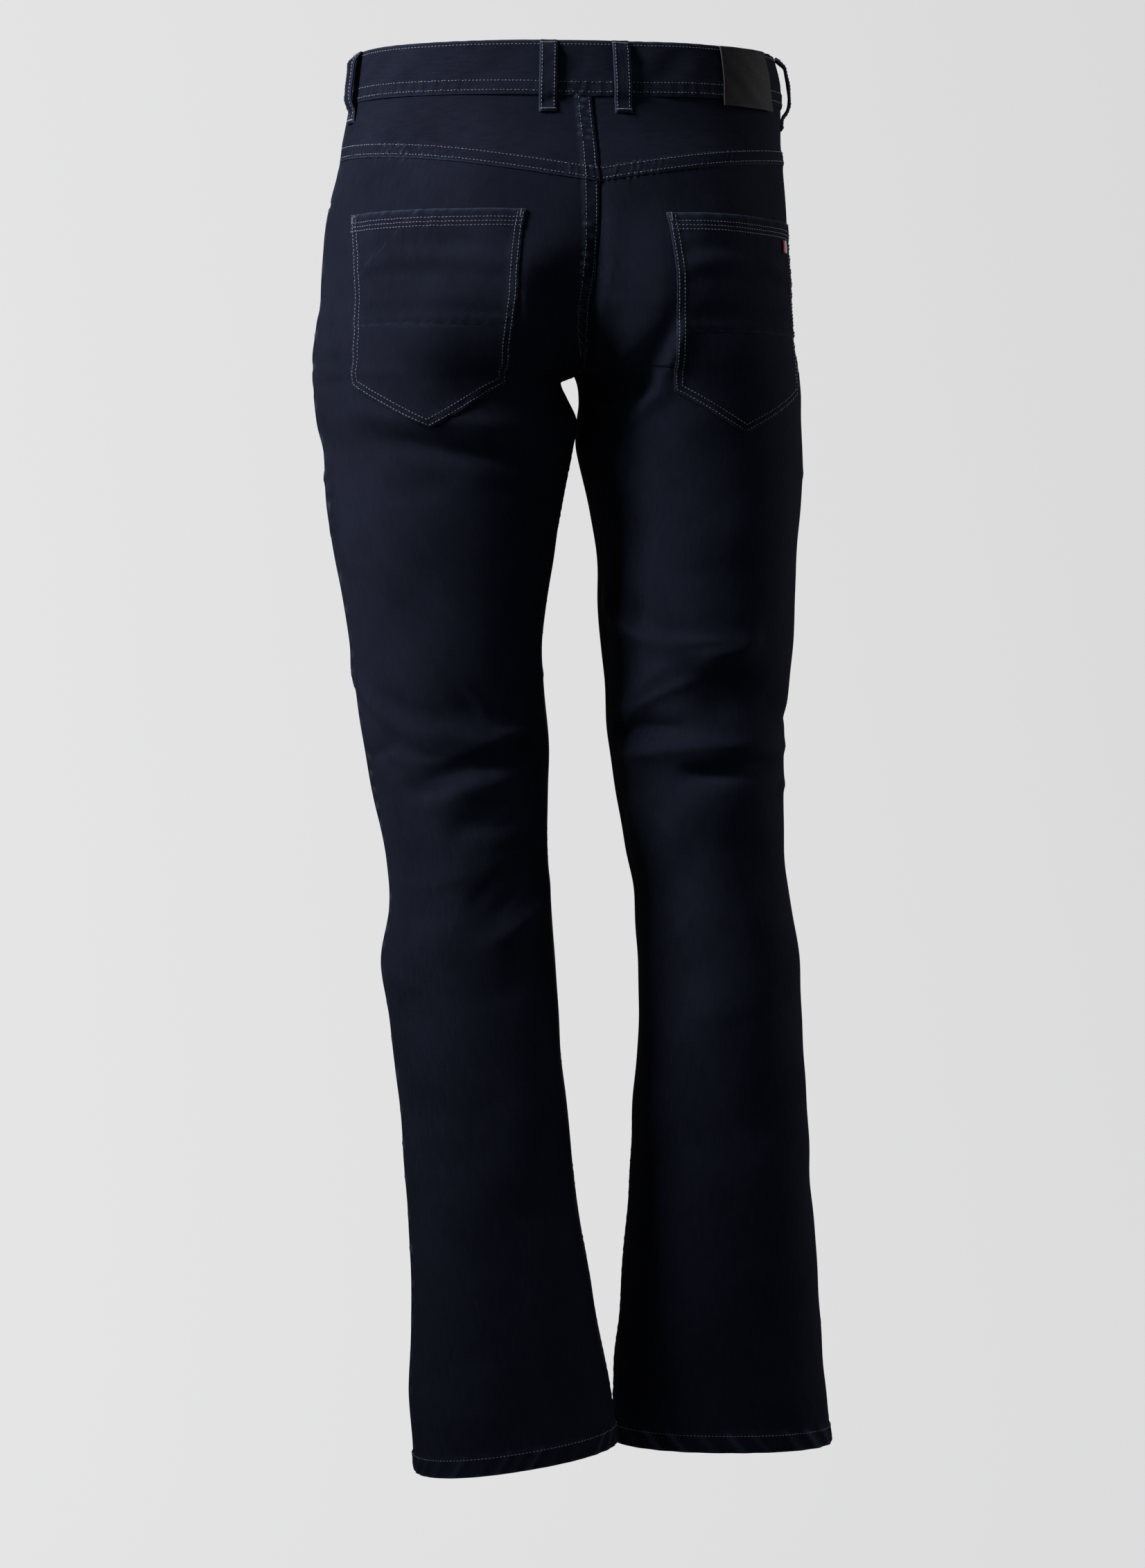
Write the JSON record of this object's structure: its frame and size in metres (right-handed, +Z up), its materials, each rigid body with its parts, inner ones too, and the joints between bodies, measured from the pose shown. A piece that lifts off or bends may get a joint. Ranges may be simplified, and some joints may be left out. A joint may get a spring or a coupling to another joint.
{
  "type": "straight leg jeans",
  "caption": "Straight-leg denim jeans, filled out as worn, with an open waist and open hems, back patch pockets, scooped front pockets and a closed fly.",
  "frame": {"origin": "middle of the waist opening, level with the waistband's top edge at the sides", "axes": "+Z up, the front faces -Y, the wearer's left is +X"},
  "size_m": [0.3969, 0.2489, 1.0544],
  "materials": {
    "denim": "black-blue cotton denim, rinsed",
    "denim_facing": "black-blue cotton denim, less worn",
    "leatherette": "matt dark leatherette",
    "woven_tab": "folded woven tape",
    "button_metal": "dark aged metal"
  },
  "bodies": {
    "root": {"waistband": "denim", "yoke_left": "denim", "yoke_right": "denim", "back_left": "denim", "back_right": "denim", "front_left": "denim", "front_right": "denim", "pocket_facing_left": "denim_facing", "pocket_facing_right": "denim_facing", "back_pocket_left_upper": "denim", "back_pocket_left_lower": "denim", "back_pocket_right_upper": "denim", "back_pocket_right_lower": "denim", "belt_loop_back_left": "denim", "belt_loop_back_right": "denim", "belt_loop_side_left": "denim", "belt_loop_side_right": "denim", "belt_loop_front_left": "denim", "belt_loop_front_right": "denim", "patch": "leatherette", "pocket_tab": "woven_tab", "waist_button": "button_metal"}
  },
  "joints": []
}
